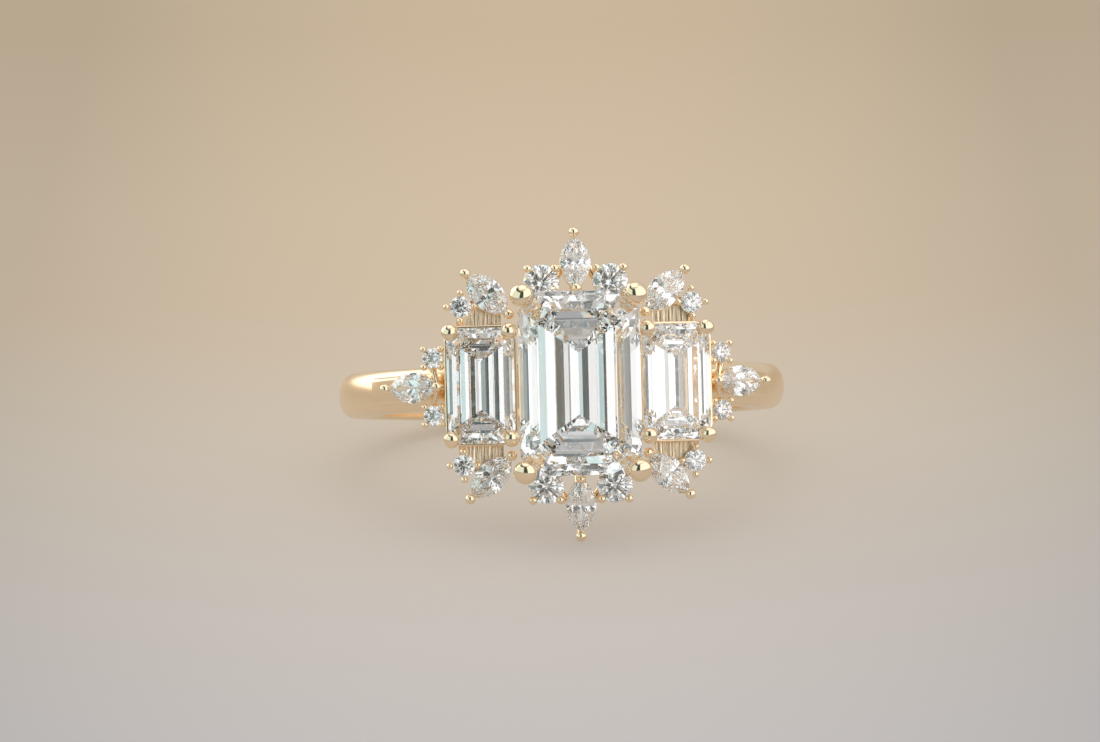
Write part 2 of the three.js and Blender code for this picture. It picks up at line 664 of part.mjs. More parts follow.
const ring = new THREE.Group();
ring.add(metal("shank", hoop));
ring.add(metal("centre_lower_rail", solids.centreLower), metal("centre_upper_rail", solids.centreUpper));
ring.add(stone("centre_stone", "centre"));

signs.forEach(([sx, sy], i) => {
  const corner = (sy > 0 ? "top" : "bottom") + (sx > 0 ? "_right" : "_left");
  ring.add(metal("centre_claw_" + corner, solids.centreClaws[i]));
  ring.add(
    mirrored(
      sx, sy,
      metal("corner_setting_" + corner, solids.corner),
      stone("corner_marquise_" + corner, "cornerMarquise"),
      stone("corner_round_" + corner, "cornerRound"),
    ),
  );
});

for (const [sx, hand] of [[1, "right"], [-1, "left"]]) {
  ring.add(
    mirrored(
      sx, 1,
      metal("shoulder_" + hand, solids.shoulder),
      metal("side_lower_rail_" + hand, solids.sideLower),
      metal("side_upper_rail_" + hand, solids.sideUpper),
      ...signs.map(([inner, sy], i) =>
        metal(
          "side_claw_" + hand + (inner > 0 ? "_outer" : "_inner") + (sy > 0 ? "_top" : "_bottom"),
          solids.sideClaws[i],
        ),
      ),
      stone("side_stone_" + hand, "side"),
      metal("end_setting_" + hand, solids.end),
      stone("end_marquise_" + hand, "endMarquise"),
      stone("end_round_" + hand + "_upper", "endRound"),
      stone("end_round_" + hand + "_lower", "endRound", placed.endRoundLower),
    ),
  );
}

for (const [sy, end] of [[1, "top"], [-1, "bottom"]]) {
  ring.add(
    mirrored(
      1, sy,
      metal(end + "_setting", solids.top),
      stone(end + "_marquise", "topMarquise"),
      stone(end + "_round_right", "topRound"),
      stone(end + "_round_left", "topRound", placed.topRoundLeft),
    ),
  );
}

// ---------------------------------------------------------------- laid on a surface
// The head leans back by the angle at which the lower tip's bead and the shank's back both touch.
function restingLean() {
  const tip = topMarquise.length / 2 + topMarquise.outerReach;
  const bead = point(tip, 0, tipBead.lift).applyMatrix4(placed.topMarquise);
  const tipLevel = (lean) => bead.z * Math.sin(lean) - bead.y * Math.cos(lean) - tipBead.diameter / 2;
  const backLevel = (lean) =>
    -(outerRadius - shank.dome) * Math.sin(lean) -
    Math.hypot((shank.width / 2) * Math.cos(lean), shank.dome * Math.sin(lean));
  let [low, high] = [0, Math.PI / 4];
  for (let i = 0; i < 40; i += 1) {
    const middle = (low + high) / 2;
    if (tipLevel(middle) < backLevel(middle)) low = middle;
    else high = middle;
  }
  return low;
}

const lying = new THREE.Group();
lying.rotation.x = Math.PI / 2 - restingLean();
lying.add(ring);
lying.updateMatrixWorld(true);
const extent = new THREE.Box3().setFromObject(lying, true);
lying.position.y = -(extent.min.y + extent.max.y) / 2;
lying.position.z = -extent.min.z;

const engagementRing = new THREE.Group();
engagementRing.add(lying);
export default engagementRing;
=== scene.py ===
import json
import math

import bmesh
import bpy
import numpy as np
from mathutils import Matrix, Quaternion, Vector


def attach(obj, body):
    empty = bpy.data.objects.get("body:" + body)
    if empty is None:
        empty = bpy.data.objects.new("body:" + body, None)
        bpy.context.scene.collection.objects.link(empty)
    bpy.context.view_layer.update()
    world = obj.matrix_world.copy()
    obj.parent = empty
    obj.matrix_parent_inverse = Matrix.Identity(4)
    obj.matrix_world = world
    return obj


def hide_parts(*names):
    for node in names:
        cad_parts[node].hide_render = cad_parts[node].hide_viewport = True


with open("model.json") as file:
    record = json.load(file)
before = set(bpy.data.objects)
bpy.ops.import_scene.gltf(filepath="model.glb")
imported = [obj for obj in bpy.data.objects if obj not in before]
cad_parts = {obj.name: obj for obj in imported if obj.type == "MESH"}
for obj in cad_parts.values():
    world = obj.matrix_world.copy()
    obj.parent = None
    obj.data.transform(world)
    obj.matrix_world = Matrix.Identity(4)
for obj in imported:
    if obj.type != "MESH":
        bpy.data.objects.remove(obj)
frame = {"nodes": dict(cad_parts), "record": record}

bl_info = {
    "name": "Three Stone Engagement Ring",
    "version": (1, 0, 0),
    "blender": (4, 5, 0),
    "location": "View3D > Sidebar > Ring",
    "description": "Builds the polished gold work, dresses the stones and sets the studio",
    "category": "Object",
}

MM = 0.001
SIDES = {"right": 1, "left": -1}
ENDS = {"top": 1, "bottom": -1}
CORNERS = {top + "_" + right: (SIDES[right], ENDS[top]) for top in ENDS for right in SIDES}


# ---------------------------------------------------------------- the ring's own frame
def ring_frame():
    """Origin at the finger hole's middle, X across the head, Y along the finger, Z out of the head."""
    mount = next(m for m in frame["record"]["mounts"] if m["name"] == "finger_hole")
    across = Vector((1, 0, 0))
    finger = Vector(mount["axis"]).normalized()
    return basis(across, finger, across.cross(finger), Vector(mount["pos_m"]))


def basis(x, y, z, origin):
    """A placing matrix from three axes and an origin in metres."""
    return Matrix.Translation(origin) @ Matrix((x, y, z)).transposed().to_4x4()


RING = ring_frame()


def node_points(name):
    """The distinct corners of a CAD node, in metres."""
    mesh = frame["nodes"][name].data
    flat = np.empty(len(mesh.vertices) * 3)
    mesh.vertices.foreach_get("co", flat)
    return np.unique(np.round(flat.reshape(-1, 3), 7), axis=0)


class Stone:
    """Where a stone sits: x and y lie in its girdle plane, and z points out of its table.

    Its sizes are in millimetres."""

    def __init__(self, node, kind):
        points = node_points(node)
        middle = points.mean(axis=0)
        _, axes = np.linalg.eigh(np.cov((points - middle).T))
        up = Vector(axes[:, 0])
        out = RING.to_3x3().col[2]
        up = up if up.dot(out) > 0 else -up
        if kind == "marquise":
            x = Vector(axes[:, 2])
            outward = Vector(middle) - RING @ Vector((0, 0, self.height(middle)))
            x = x if x.dot(outward) > 0 else -x
        else:
            x = RING.to_3x3().col[0]
            x = (x - up * x.dot(up)).normalized()
        y = up.cross(x)
        local = (points - middle) @ np.array([x, y, up]).T / MM
        low, high = local.min(axis=0), local.max(axis=0)
        # The corners within a hundredth of the furthest one are on the girdle.
        girdle = local[local[:, 0] > high[0] - 0.01 * (high[0] - low[0])][:, 2].mean()
        shift = Vector(((low[0] + high[0]) / 2, (low[1] + high[1]) / 2, girdle)) * MM
        self.place = basis(x, y, up, Vector(middle) + x * shift.x + y * shift.y + up * shift.z)
        self.x_size, self.y_size, _ = high - low
        edge = local[np.abs(local[:, 0] - high[0]) < 0.01]
        self.corner = high[1] - edge[:, 1].max()

    @staticmethod
    def height(point):
        return (RING.inverted() @ Vector(point)).z

    def outline(self, grow, count=96):
        """The marquise's girdle, two equal arcs, moved out by grow."""
        arc = (self.x_size ** 2 + self.y_size ** 2) / (4 * self.y_size)
        inset = arc - self.y_size / 2
        radius = arc + grow
        half = math.acos(inset / radius)
        points = []
        for side in (1, -1):
            for i in range(count // 2):
                angle = half - i * 4 * half / count
                points.append((side * radius * math.sin(angle), side * (radius * math.cos(angle) - inset)))
        return points


def circle_outline(radius, count=64):
    """A circle that grows by an offset."""
    turns = [2 * math.pi * i / count for i in range(count)]
    return lambda grow: [((radius + grow) * math.cos(t), (radius + grow) * math.sin(t)) for t in turns]


def cut_corner_outline(width, length, corner, fillet=0.28, steps=6):
    """A rectangle with cut corners, whose eight bends are rounded, that grows by an offset."""
    shortest_corner = 0.05
    most_of_a_side = 0.42

    def outline(grow):
        x, y = width / 2 + grow, length / 2 + grow
        c = max(corner + (2 - math.sqrt(2)) * grow, shortest_corner)
        bends = [
            (x, y - c), (x - c, y), (c - x, y), (-x, y - c),
            (-x, c - y), (c - x, -y), (x - c, -y), (x, c - y),
        ]
        points = []
        for i, bend in enumerate(bends):
            here = Vector(bend)
            before, after = Vector(bends[i - 1]), Vector(bends[(i + 1) % 8])
            shorter = min((before - here).length * most_of_a_side, (after - here).length * most_of_a_side)
            reach = min(fillet, shorter)
            start = here + (before - here).normalized() * reach
            end = here + (after - here).normalized() * reach
            for k in range(steps + 1):
                t = k / steps
                points.append(tuple(start * (1 - t) ** 2 + here * 2 * t * (1 - t) + end * t ** 2))
        return points
    return outline


# ---------------------------------------------------------------- node trees written as expressions
class Wire:
    """A node's output socket. Arithmetic on it adds Math nodes to its tree."""

    def __init__(self, tree, socket):
        self.tree = tree
        self.socket = socket

    def add(self, kind, settings=None, sockets=None, output=0):
        """A new node in the same tree: its settings are set first, then its sockets by value or link."""
        return new_node(self.tree, kind, settings, sockets, output)

    def out(self, name):
        """Another output of the node that this one comes from."""
        return Wire(self.tree, self.socket.node.outputs[name])

    def math(self, operation, *others):
        return self.add("ShaderNodeMath", {"operation": operation}, dict(enumerate((self, *others))))

    def __add__(self, other):
        return self.math("ADD", other)

    def __sub__(self, other):
        return self.math("SUBTRACT", other)

    def __mul__(self, other):
        return self.math("MULTIPLY", other)

    def __truediv__(self, other):
        return self.math("DIVIDE", other)

    def __neg__(self):
        return self.math("MULTIPLY", -1.0)

    def __rsub__(self, other):
        return (-self).math("ADD", other)

    __radd__ = __add__
    __rmul__ = __mul__


def new_node(tree, kind, settings=None, sockets=None, output=0):
    """Adds a node, applies its settings, then sets or links its sockets; gives one output as a Wire."""
    node = tree.nodes.new(kind)
    for name, value in (settings or {}).items():
        setattr(node, name, value)
    for key, value in (sockets or {}).items():
        if isinstance(value, Wire):
            tree.links.new(value.socket, node.inputs[key])
        else:
            node.inputs[key].default_value = value
    return Wire(tree, node.outputs[output]) if node.outputs else node


def ramp(factor, stops):
    """A colour ramp with stops of place and colour."""
    made = factor.add("ShaderNodeValToRGB", sockets={"Fac": factor})
    elements = made.socket.node.color_ramp.elements
    while len(elements) < len(stops):
        elements.new(0.5)
    for element, (place, colour) in zip(elements, stops):
        element.position = place
        element.color = (*colour, 1)
    return made


def material(name, build):
    """A material whose tree is cleared and rebuilt by build(tree), which gives the surface shader."""
    made = bpy.data.materials.new(name)
    made.use_nodes = True
    made.node_tree.nodes.clear()
    surface = build(made.node_tree)
    new_node(made.node_tree, "ShaderNodeOutputMaterial", sockets={"Surface": surface})
    return made


# ---------------------------------------------------------------- properties
class RING_PG_metal(bpy.types.PropertyGroup):
    colour: bpy.props.FloatVectorProperty(
        name="Gold", description="Colour of the polished gold", subtype="COLOR", size=3,
        default=(0.98, 0.835, 0.635), min=0, max=1)
    roughness: bpy.props.FloatProperty(
        name="Polish", description="Roughness of the polished gold", default=0.08, min=0, max=1)
    shank_wall: bpy.props.FloatProperty(
        name="Shank wall", description="Thickness of the shank", default=1.7 * MM, unit="LENGTH")
    shank_width: bpy.props.FloatProperty(
        name="Shank width", description="Width of the shank along the finger", default=2.0 * MM,
        unit="LENGTH")
    shank_dome: bpy.props.FloatProperty(
        name="Shank dome", description="Height of the shank's crown over its sides", default=0.6 * MM,
        unit="LENGTH")
    rail: bpy.props.FloatProperty(
        name="Rail", description="Thickness of the baskets' rails", default=0.34 * MM, unit="LENGTH")


class RING_PG_beads(bpy.types.PropertyGroup):
    centre_ball: bpy.props.FloatProperty(
        name="Centre balls", description="Diameter of the centre claws' balls", default=1.08 * MM,
        unit="LENGTH")
    side_ball: bpy.props.FloatProperty(
        name="Side balls", description="Diameter of the side claws' balls", default=0.74 * MM, unit="LENGTH")
    tip_bead: bpy.props.FloatProperty(
        name="Tip beads", description="Diameter of the beads at a marquise's points", default=0.47 * MM,
        unit="LENGTH")
    large_bead: bpy.props.FloatProperty(
        name="Large beads", description="Diameter of the beads round the larger rounds", default=0.39 * MM,
        unit="LENGTH")
    small_bead: bpy.props.FloatProperty(
        name="Small beads", description="Diameter of the beads round the smaller rounds", default=0.31 * MM,
        unit="LENGTH")


class RING_PG_studio(bpy.types.PropertyGroup):
    azimuth: bpy.props.FloatProperty(
        name="Azimuth", description="How far the camera looks to the right of the head",
        default=math.radians(4.0), subtype="ANGLE")
    elevation: bpy.props.FloatProperty(
        name="Elevation", description="How far the camera looks down", default=math.radians(14.83),
        subtype="ANGLE")
    roll: bpy.props.FloatProperty(
        name="Roll", description="Turn of the camera about its own line of sight",
        default=math.radians(-0.25), subtype="ANGLE")
    distance: bpy.props.FloatProperty(
        name="Distance", description="From the camera to the head", default=0.33, unit="LENGTH")
    lens: bpy.props.FloatProperty(
        name="Lens", description="Focal length", default=240.2, subtype="NONE")
    fabric: bpy.props.FloatVectorProperty(
        name="Surface", description="Colour of the surface under the ring", subtype="COLOR", size=3,
        default=(0.62, 0.53, 0.43), min=0, max=1)


def sizes(context):
    """The three groups of settings."""
    return context.scene.ring_metal, context.scene.ring_beads, context.scene.ring_studio


# ---------------------------------------------------------------- meshes
def skin(rings, closed=False):
    """Quads between rings of equal count; a closed skin joins its last ring to its first."""
    count = len(rings[0])
    points = [p for ring in rings for p in ring]
    spans = len(rings) if closed else len(rings) - 1
    faces = []
    for level in range(spans):
        low, high = level * count, ((level + 1) % len(rings)) * count
        faces += [(low + i, low + (i + 1) % count, high + (i + 1) % count, high + i) for i in range(count)]
    if not closed:
        faces.append(tuple(reversed(range(count))))
        faces.append(tuple(range(len(points) - count, len(points))))
    return points, faces


def band(outline, profile):
    """A closed tube of metal: an outline swept round a profile of offsets and heights."""
    return skin([[(x, y, z) for x, y in outline(grow)] for grow, z in profile], closed=True)


def sweep(path, section, side):
    """A bar along a path: its section's first axis is side, and its second is square to path and side."""
    rings = []
    for i, here in enumerate(path):
        along = (path[min(i + 1, len(path) - 1)] - path[max(i - 1, 0)]).normalized()
        across = along.cross(side).normalized()
        rings.append([tuple(here + side * u + across * v) for u, v in section])
    return skin(rings)


def rounded_section(width, height, corner, steps=5):
    """A rectangle with round corners, centred on its own middle."""
    points = []
    for quarter, (sx, sy) in enumerate(((1, 1), (-1, 1), (-1, -1), (1, -1))):
        for k in range(steps + 1):
            turn = math.pi / 2 * (quarter + k / steps)
            points.append((
                sx * (width / 2 - corner) + corner * math.cos(turn),
                sy * (height / 2 - corner) + corner * math.sin(turn),
            ))
    return points


class Metalwork:
    """Collects the shells and the beads of one piece of gold, in metres."""

    def __init__(self):
        self.points = []
        self.faces = []
        self.brushed = []
        self.beads = []

    def shell(self, place, shape, brushed=0.0):
        """Adds a shape given in a placed frame's millimetres."""
        start = len(self.points)
        points, faces = shape
        self.points += [place @ (Vector(p) * MM) for p in points]
        self.faces += [tuple(start + i for i in face) for face in faces]
        self.brushed += [brushed] * len(points)

    def bar(self, place, start, end, radius, sides=20):
        """Adds a round bar between two points of a placed frame."""
        start, end = Vector(start), Vector(end)
        side = (end - start).normalized().orthogonal().normalized()
        section = [
            (radius * math.cos(2 * math.pi * i / sides), radius * math.sin(2 * math.pi * i / sides))
            for i in range(sides)
        ]
        self.shell(place, sweep([start.lerp(end, t) for t in (0, 0.5, 1)], section, side))

    def bead(self, place, centre, foot, diameter):
        """Adds a ball at a point of a placed frame, on a post that comes up from foot."""
        centre, foot = place @ (Vector(centre) * MM), place @ (Vector(foot) * MM)
        self.beads.append((centre, (centre - foot).normalized(), diameter * MM / 2))


def beaded_tree(gold):
    """Turns each marked point into a ball on a post, along the point's own axis, and keeps the rest."""
    tree = bpy.data.node_groups.new("beaded_posts", "GeometryNodeTree")
    face = tree.interface
    face.new_socket("Geometry", in_out="INPUT", socket_type="NodeSocketGeometry")
    for name, default in (("Post length", 3.4), ("Post radius", 0.72), ("Neck", 0.1), ("Rise", 1.0)):
        face.new_socket(name, in_out="INPUT", socket_type="NodeSocketFloat").default_value = default
    for name, default in (("Around", 24), ("Along", 20)):
        face.new_socket(name, in_out="INPUT", socket_type="NodeSocketInt").default_value = default
    face.new_socket("Geometry", in_out="OUTPUT", socket_type="NodeSocketGeometry")
    given = new_node(tree, "NodeGroupInput")

    grid = given.add("GeometryNodeMeshGrid", sockets={
        "Size X": 1.0, "Size Y": 1.0,
        "Vertices X": given.out("Around") + 1, "Vertices Y": given.out("Along")})
    at = given.add("ShaderNodeSeparateXYZ", sockets={0: given.add("GeometryNodeInputPosition")})
    turn = (at + 0.5) * (2 * math.pi)
    rise = at.out("Y") + 0.5
    # The lowest third is the post, and the rest goes round the ball from its neck to its pole.
    share = 0.3
    neck_angle, whole_angle = math.pi * 0.28, math.pi * 0.78
    sweep_angle = (rise - share) / (1 - share) * whole_angle - neck_angle
    on_ball = rise.math("GREATER_THAN", share)
    neck_height = math.sin(-neck_angle)
    post_height = (rise / share) * (given.out("Post length") + neck_height) - given.out("Post length")
    level = sweep_angle.math("SINE") * on_ball + post_height * (1 - on_ball)
    height = level.math("MINIMUM", 0.0) + level.math("MAXIMUM", 0.0) * given.out("Rise")
    ball_radius = sweep_angle.math("COSINE") * on_ball
    post = given.out("Post radius") * height.math("LESS_THAN", 0.0)
    blended = ball_radius.math("SMOOTH_MAX", post, given.out("Neck"))
    below = height.math("LESS_THAN", -0.05)
    # The lowest ring shrinks to a point, so the post is closed.
    closed_foot = (rise * 1000).math("MINIMUM", 1.0)
    radius = (blended * below + ball_radius * (1 - below)) * closed_foot
    position = given.add("ShaderNodeCombineXYZ", sockets={
        "X": radius * turn.math("COSINE"), "Y": radius * turn.math("SINE"), "Z": height})
    posted = given.add("GeometryNodeSetPosition", sockets={"Geometry": grid, "Position": position})
    bead = given.add("GeometryNodeMergeByDistance", sockets={"Geometry": posted, "Distance": 1e-4})

    size = given.add("GeometryNodeInputNamedAttribute", {"data_type": "FLOAT"}, {"Name": "bead_radius"})
    axis = given.add("GeometryNodeInputNamedAttribute", {"data_type": "FLOAT_VECTOR"}, {"Name": "bead_axis"})
    marked = size.math("GREATER_THAN", 0.0)
    split = given.add("GeometryNodeSeparateGeometry", {"domain": "POINT"}, {
        "Geometry": given, "Selection": marked})
    turned = given.add("FunctionNodeAlignRotationToVector", {"axis": "Z"}, {"Vector": axis})
    placed = given.add("GeometryNodeInstanceOnPoints", sockets={
        "Points": split, "Instance": bead, "Rotation": turned, "Scale": size})
    # A Join Geometry socket takes several links, so the second is added by hand.
    joined = given.add("GeometryNodeJoinGeometry", sockets={"Geometry": split.out("Inverted")})
    tree.links.new(placed.socket, joined.socket.node.inputs[0])
    real = given.add("GeometryNodeRealizeInstances", sockets={"Geometry": joined})
    finished = given.add("GeometryNodeSetMaterial", sockets={"Geometry": real, "Material": gold})
    smooth = given.add("GeometryNodeSetShadeSmooth", sockets={"Geometry": finished})
    new_node(tree, "NodeGroupOutput", sockets={"Geometry": smooth})
    return tree


def build_piece(name, metal, nodes, post=3.4, neck=0.72, rise=1.0, around=24, clear=(), finish="polished"):
    """Makes the finished mesh of a piece of gold: shells as they are, beads through the geometry nodes.

    Post is a bead's post in ball radii, neck its radius, rise the ball's height over its own middle, around
    the number of sides. Clear names the stones the piece is notched for, and finish the gold's polish."""
    mesh = bpy.data.meshes.new(name)
    loose = [centre for centre, _, _ in metal.beads]
    mesh.from_pydata(metal.points + loose, [], metal.faces)
    plain = len(metal.points)
    for attribute, kind in (("bead_radius", "FLOAT"), ("bead_axis", "FLOAT_VECTOR"), ("brushed", "FLOAT")):
        mesh.attributes.new(attribute, kind, "POINT")
    for i, amount in enumerate(metal.brushed):
        mesh.attributes["brushed"].data[i].value = amount
    for i, (_, direction, size) in enumerate(metal.beads):
        mesh.attributes["bead_radius"].data[plain + i].value = size
        mesh.attributes["bead_axis"].data[plain + i].vector = direction
    piece = bpy.data.objects.new(name, mesh)
    bpy.context.scene.collection.objects.link(piece)
    gold = bpy.data.materials["yellow_gold_" + finish]
    if metal.beads:
        tree = bpy.data.node_groups.get("beaded_posts") or beaded_tree(gold)
        modifier = piece.modifiers.new("beads", "NODES")
        modifier.node_group = tree
        sockets = [item for item in tree.interface.items_tree if item.in_out == "INPUT"]
        inputs = {item.name: item.identifier for item in sockets}
        modifier[inputs["Post length"]] = post
        modifier[inputs["Post radius"]] = neck
        modifier[inputs["Rise"]] = rise
        modifier[inputs["Around"]] = around
        modifier[inputs["Along"]] = around
        freeze(piece)
    for stone in clear:
        notch(piece, stone)
    finish_metal(piece, nodes, gold)


def freeze(piece):
    """Turns what the modifiers make into the piece's own mesh."""
    evaluated = piece.evaluated_get(bpy.context.evaluated_depsgraph_get())
    piece.data = bpy.data.meshes.new_from_object(evaluated)
    piece.modifiers.clear()


def notch(piece, node, gap=0.02 * MM):
    """Cuts a stone's bearing, a little larger than the stone, out of a piece."""
    cutter = bpy.data.objects.new("bearing", frame["nodes"][node].data.copy())
    bpy.context.scene.collection.objects.link(cutter)
    points = node_points(node)
    middle = Vector((points.max(axis=0) + points.min(axis=0)) / 2)
    reach = min(points.max(axis=0) - points.min(axis=0)) / 2
    grow = 1 + gap / reach
    cutter.data.transform(Matrix.Translation(middle) @ Matrix.Scale(grow, 4) @ Matrix.Translation(-middle))
    modifier = piece.modifiers.new("bearing", "BOOLEAN")
    modifier.operation = "DIFFERENCE"
    modifier.solver = "EXACT"
    modifier.object = cutter
    freeze(piece)
    bpy.data.objects.remove(cutter)


# Edges that turn more than this stay crisp.
CRISP = math.radians(42)


def finish_metal(piece, nodes, gold):
    """Turns faces outwards, shades them and ties the piece to the frame."""
    mesh = bmesh.new()
    mesh.from_mesh(piece.data)
    bmesh.ops.recalc_face_normals(mesh, faces=mesh.faces)
    mesh.to_mesh(piece.data)
    mesh.free()
    piece.data.materials.clear()
    piece.data.materials.append(gold)
    piece.data.shade_smooth()
    piece.data.set_sharp_from_angle(angle=CRISP)
    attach(piece, "root")
    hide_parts(*nodes)


# ---------------------------------------------------------------- materials
def gold_surface(tree, colour, roughness):
    """Polished gold: faint handling marks, and a brushed grain where a piece is marked brushed."""
    place = new_node(tree, "ShaderNodeTexCoord", output="Object")
    marks = place.add("ShaderNodeTexNoise", sockets={"Vector": place, "Scale": 420.0, "Detail": 4.0})
    fine = place.add("ShaderNodeTexNoise", sockets={"Vector": place, "Scale": 5200.0, "Detail": 2.0})
    brushed = place.add("ShaderNodeAttribute", {"attribute_name": "brushed"}, output="Fac")
    stretched = place.add("ShaderNodeMapping", sockets={"Vector": place, "Scale": (9000.0, 500.0, 500.0)})
    grain = place.add("ShaderNodeTexNoise", sockets={"Vector": stretched, "Scale": 1.0, "Detail": 3.0})
    warm = tuple(c * f for c, f in zip(colour, (0.99, 0.93, 0.84)))
    tone = place.add("ShaderNodeMix", {"data_type": "RGBA"}, {
        "Factor": marks, 6: (*colour, 1), 7: (*warm, 1)}, output=2)
    height = fine * 0.01 + grain * brushed
    bump = place.add("ShaderNodeBump", sockets={"Strength": 0.9, "Distance": 0.00003, "Height": height})
    polish = marks * 0.07 + brushed * 0.22 + (roughness - 0.03)
    return place.add("ShaderNodeBsdfPrincipled", sockets={
        "Base Color": tone, "Metallic": 1.0, "Roughness": polish, "Normal": bump})


def diamond_surface(tree):
    """Clear stone with sharp flat facets and the faintest cloud."""
    place = new_node(tree, "ShaderNodeTexCoord", output="Object")
    cloud = place.add("ShaderNodeTexNoise", sockets={"Vector": place, "Scale": 900.0, "Detail": 3.0})
    tint = ramp(cloud, [(0.35, (0.92, 0.96, 0.98)), (0.7, (0.95, 0.98, 1.0))])
    return place.add("ShaderNodeBsdfPrincipled", sockets={
        "Base Color": tint, "Roughness": 0.0, "IOR": 2.418, "Transmission Weight": 1.0})


# The share of the cloth's light that it gives out as a glow of its own, though it is no lamp: painted light
# that lightens the shadow on it.
CLOTH_GLOW = 0.52
# The stretch of cloth, front to back in metres, that its tones of painted light run over, and each tone's
# factors.
CLOTH_RUN = (-0.04, 0.1)
CLOTH_LIGHT_TONES = (
    (0.0, (0.89, 0.98, 1.17)), (0.14, (0.95, 1.01, 1.14)), (0.33, (1.00, 1.02, 1.04)),
    (0.53, (1.01, 0.95, 0.86)), (0.68, (1.00, 0.94, 0.84)), (1.0, (0.92, 0.85, 0.73)),
)
# The light is painted on the cloth in a pool, a strip that runs back a little to the right: its slope, its
# middle and one over half its width, in metres, and the factors of the painted shade outside it.
POOL_SLOPE, POOL_MIDDLE, POOL_NARROWNESS = 0.07, -0.001, 37.0
POOL_EDGE_SHADE = (0.80, 0.82, 0.84)


def fabric_surface(tree, colour):
    """A smooth pale cloth with its light painted on: warmer at the back, cooler at the front, painted shade
    to the sides and a faint glow.
    """
    place = new_node(tree, "ShaderNodeTexCoord", output="Object")
    at = place.add("ShaderNodeSeparateXYZ", sockets={0: place})
    depth = at.add("ShaderNodeMapRange", sockets={
        "Value": at.out("Y"), "From Min": CLOTH_RUN[0], "From Max": CLOTH_RUN[1]})
    # Painted light: the tone runs from cool at the front to warm at the back, as the light on the cloth
    # does.
    tint = ramp(depth, [
        (stop, tuple(c * f for c, f in zip(colour, factors))) for stop, factors in CLOTH_LIGHT_TONES
    ])
    # Painted shade: the cloth darkens to the sides, outside the painted pool of light.
    across = at - at.out("Y") * POOL_SLOPE
    shade = ((across - POOL_MIDDLE) * POOL_NARROWNESS).math("POWER", 2.0).math("MINIMUM", 1.0)
    dim = place.add("ShaderNodeMix", {"data_type": "RGBA", "blend_type": "MULTIPLY"}, {
        "Factor": shade, 6: tint, 7: (*POOL_EDGE_SHADE, 1)}, output=2)
    weave = place.add("ShaderNodeTexNoise", sockets={"Vector": place, "Scale": 2600.0, "Detail": 3.0})
    folds = place.add("ShaderNodeTexNoise", sockets={"Vector": place, "Scale": 60.0, "Detail": 2.0})
    height = weave * 0.5 + folds * 2.0
    bump = place.add("ShaderNodeBump", sockets={"Strength": 0.3, "Distance": 0.0001, "Height": height})
    # Painted light: the lit colour is lowered by the glow's share, and the same share comes back as a glow,
    # so the cloth's shadow stays light.
    base = place.add("ShaderNodeMix", {"data_type": "RGBA"}, {
        "Factor": CLOTH_GLOW, 6: dim, 7: (0, 0, 0, 1)}, output=2)
    return place.add("ShaderNodeBsdfPrincipled", sockets={
        "Base Color": base, "Roughness": 0.85, "Specular IOR Level": 0.1, "Normal": bump,
        "Emission Color": dim, "Emission Strength": CLOTH_GLOW})


# How much rougher the shank and the shoulders are than the polished gold.
SATIN = 0.15


class RING_OT_finishes(bpy.types.Operator):
    """Makes the gold and the diamond, and dresses every stone"""
    bl_idname = "ring.finishes"
    bl_label = "Finishes and stones"

    def execute(self, context):
        metal, _, _ = sizes(context)
        colour, roughness = tuple(metal.colour), metal.roughness
        material("yellow_gold_polished", lambda tree: gold_surface(tree, colour, roughness))
        softer = roughness + SATIN
        material("yellow_gold_satin", lambda tree: gold_surface(tree, colour, softer))
        diamond = material("diamond_clear", diamond_surface)
        stones = [name for name in frame["nodes"] if is_stone(name)]
        if not stones:
            raise RuntimeError("the frame holds no stones")
        for name in stones:
            mesh = frame["nodes"][name].data
            mesh.materials.clear()
            mesh.materials.append(diamond)
        return {"FINISHED"}


def is_stone(name):
    return any(word in name for word in ("stone", "marquise", "round"))


# ---------------------------------------------------------------- shank and shoulders
def hole_radius():
    """The finger hole's radius in millimetres, from the shank's nearest corners to the finger's axis."""
    inward = RING.inverted()
    local = [inward @ Vector(p) for p in node_points("shank")]
    return min(math.hypot(p.x, p.z) for p in local) / MM


def seat_height():
    """The height in millimetres of the flat that the baskets stand on."""
    inward = RING.inverted()
    return max((inward @ Vector(p)).z for p in node_points("shank")) / MM


